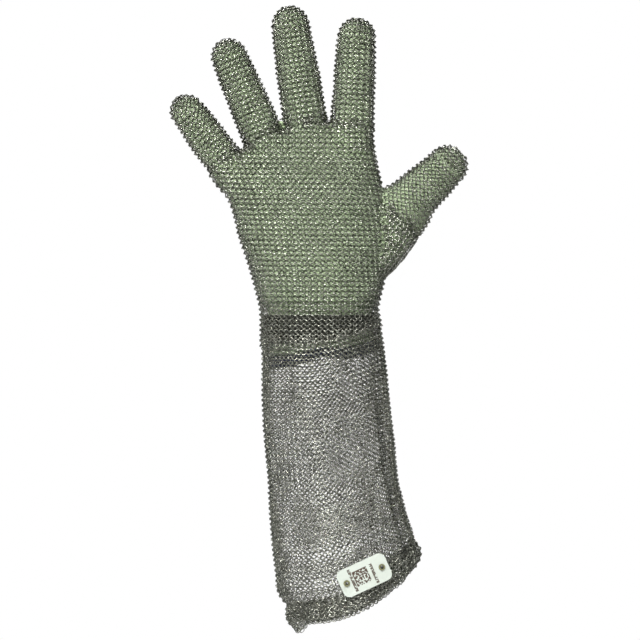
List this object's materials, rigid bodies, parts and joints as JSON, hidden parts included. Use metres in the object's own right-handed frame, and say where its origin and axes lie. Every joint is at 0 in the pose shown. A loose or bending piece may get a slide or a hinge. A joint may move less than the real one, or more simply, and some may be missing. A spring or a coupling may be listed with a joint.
{
  "type": "mesh glove",
  "caption": "Long-cuffed steel ring-mesh safety glove worn over a knitted liner glove, with bending fingers, thumb and wrist.",
  "frame": {"origin": "middle of the cuff's opening, where the forearm goes in", "axes": "+Z towards the fingertips, +X towards the thumb, +Y out of the palm; the back of the hand faces -Y"},
  "size_m": [0.1886, 0.071, 0.3942],
  "materials": {
    "steel_rings": "welded stainless rings, slightly dulled",
    "liner_knit": "sage green cotton knit",
    "edge_binding": "navy overlocked thread",
    "strap_webbing": "dark woven band",
    "tag_plastic": null,
    "eyelet_metal": "tarnished pressed eyelet"
  },
  "bodies": {
    "cuff": {"cuff_sleeve_mesh": "steel_rings", "cuff_hem_mesh": "steel_rings", "wrist_skirt_mesh": "steel_rings", "wrist_strap": "strap_webbing", "liner_wrist": "liner_knit", "liner_edge_binding": "edge_binding", "tag_plate": "tag_plastic", "tag_eyelet_left": "eyelet_metal", "tag_eyelet_right": "eyelet_metal"},
    "hand": {"palm_mesh": "steel_rings", "thumb_gusset_mesh": "steel_rings", "liner_palm": "liner_knit", "liner_thumb_gusset": "liner_knit"},
    "index_base": {"index_base_mesh": "steel_rings", "liner_index_base": "liner_knit"},
    "index_tip": {"index_tip_mesh": "steel_rings", "liner_index_tip": "liner_knit"},
    "middle_base": {"middle_base_mesh": "steel_rings", "liner_middle_base": "liner_knit"},
    "middle_tip": {"middle_tip_mesh": "steel_rings", "liner_middle_tip": "liner_knit"},
    "ring_base": {"ring_base_mesh": "steel_rings", "liner_ring_base": "liner_knit"},
    "ring_tip": {"ring_tip_mesh": "steel_rings", "liner_ring_tip": "liner_knit"},
    "pinky_base": {"pinky_base_mesh": "steel_rings", "liner_pinky_base": "liner_knit"},
    "pinky_tip": {"pinky_tip_mesh": "steel_rings", "liner_pinky_tip": "liner_knit"},
    "thumb_base": {"thumb_base_mesh": "steel_rings", "liner_thumb_base": "liner_knit"},
    "thumb_tip": {"thumb_tip_mesh": "steel_rings", "liner_thumb_tip": "liner_knit"}
  },
  "joints": [
    {"name": "wrist_bend", "type": "hinge", "parent": "cuff", "child": "hand", "pos_m": [-0.0227, 0, 0.183], "axis": [-1, 0, 0], "range_deg": [-40, 40]},
    {"name": "index_base_flex", "type": "hinge", "parent": "hand", "child": "index_base", "pos_m": [-0.00223, 0, 0.2989], "axis": [-0.9996, 0, 0.0286], "range_deg": [0, 70]},
    {"name": "index_tip_flex", "type": "hinge", "parent": "index_base", "child": "index_tip", "pos_m": [-0.00075, 0.00104, 0.32999], "axis": [-0.9996, 0, 0.0286], "range_deg": [0, 80]},
    {"name": "middle_base_flex", "type": "hinge", "parent": "hand", "child": "middle_base", "pos_m": [-0.03082, 0, 0.30008], "axis": [-0.996, 0, -0.0896], "range_deg": [0, 70]},
    {"name": "middle_tip_flex", "type": "hinge", "parent": "middle_base", "child": "middle_tip", "pos_m": [-0.03593, 0.00115, 0.33401], "axis": [-0.996, 0, -0.0896], "range_deg": [0, 80]},
    {"name": "ring_base_flex", "type": "hinge", "parent": "hand", "child": "ring_base", "pos_m": [-0.05798, 0, 0.29198], "axis": [-0.9716, 0, -0.2366], "range_deg": [0, 70]},
    {"name": "ring_tip_flex", "type": "hinge", "parent": "ring_base", "child": "ring_tip", "pos_m": [-0.06962, 0.00104, 0.31966], "axis": [-0.9716, 0, -0.2366], "range_deg": [0, 80]},
    {"name": "pinky_base_flex", "type": "hinge", "parent": "hand", "child": "pinky_base", "pos_m": [-0.08291, 0.0005, 0.2762], "axis": [-0.9252, 0, -0.3794], "range_deg": [0, 70]},
    {"name": "pinky_tip_flex", "type": "hinge", "parent": "pinky_base", "child": "pinky_tip", "pos_m": [-0.09716, 0.00137, 0.295], "axis": [-0.9252, 0, -0.3794], "range_deg": [0, 80]},
    {"name": "thumb_base_flex", "type": "hinge", "parent": "hand", "child": "thumb_base", "pos_m": [0.02712, 0.005, 0.24299], "axis": [-0.6625, 0, 0.7491], "range_deg": [0, 40]},
    {"name": "thumb_tip_flex", "type": "hinge", "parent": "thumb_base", "child": "thumb_tip", "pos_m": [0.04761, 0.006, 0.26111], "axis": [-0.6625, 0, 0.7491], "range_deg": [0, 60]}
  ]
}
